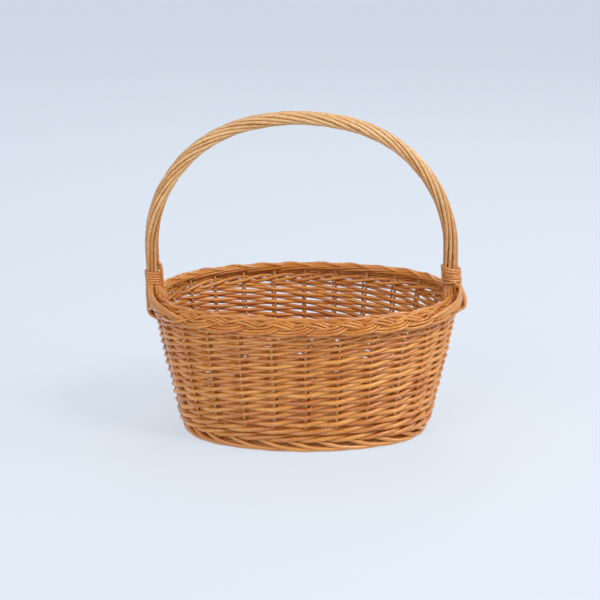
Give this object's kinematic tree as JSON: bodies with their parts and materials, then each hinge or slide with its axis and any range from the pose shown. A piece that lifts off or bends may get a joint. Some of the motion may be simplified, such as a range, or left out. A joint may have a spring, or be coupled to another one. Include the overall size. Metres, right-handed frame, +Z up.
{
  "type": "wicker basket",
  "caption": "Oval willow shopping basket with leaning woven walls, a plaited border and a fixed roped bow handle over its length.",
  "frame": {"origin": "on the ground under the middle of the base", "axes": "+Z up, +X along the length of the basket and the span of its handle, +Y towards its back"},
  "size_m": [0.408, 0.3, 0.411],
  "materials": {
    "stake_willow": "satin",
    "base_willow": "satin",
    "foot_willow": "satin",
    "wale_willow": "satin",
    "siding_willow": "satin",
    "border_willow": "satin",
    "handle_willow": "satin",
    "whipping_willow": "satin"
  },
  "bodies": {
    "root": {"base_cross_stick_1": "base_willow", "base_cross_stick_2": "base_willow", "base_cross_stick_3": "base_willow", "base_cross_stick_4": "base_willow", "base_cross_stick_5": "base_willow", "base_cross_stick_6": "base_willow", "base_cross_stick_7": "base_willow", "base_long_stick_1": "base_willow", "base_long_stick_2": "base_willow", "base_long_stick_3": "base_willow", "base_long_stick_4": "base_willow", "base_weave": "base_willow", "bye_stakes": "stake_willow", "foot_border": "foot_willow", "handle_bow": "handle_willow", "handle_roping": "handle_willow", "left_neck_wrap": "whipping_willow", "left_rope_tails": "whipping_willow", "right_neck_wrap": "whipping_willow", "right_rope_tails": "whipping_willow", "rim_border": "border_willow", "side_stake_01": "stake_willow", "side_stake_02": "stake_willow", "side_stake_03": "stake_willow", "side_stake_04": "stake_willow", "side_stake_05": "stake_willow", "side_stake_06": "stake_willow", "side_stake_07": "stake_willow", "side_stake_08": "stake_willow", "side_stake_09": "stake_willow", "side_stake_10": "stake_willow", "side_stake_11": "stake_willow", "side_stake_12": "stake_willow", "side_stake_13": "stake_willow", "side_stake_14": "stake_willow", "side_stake_15": "stake_willow", "side_stake_16": "stake_willow", "side_stake_17": "stake_willow", "side_stake_18": "stake_willow", "side_stake_19": "stake_willow", "side_stake_20": "stake_willow", "side_stake_21": "stake_willow", "side_stake_22": "stake_willow", "side_stake_23": "stake_willow", "side_stake_24": "stake_willow", "side_stake_25": "stake_willow", "side_stake_26": "stake_willow", "side_weave": "siding_willow", "top_wale": "wale_willow", "upsett_wale": "wale_willow"}
  },
  "joints": []
}
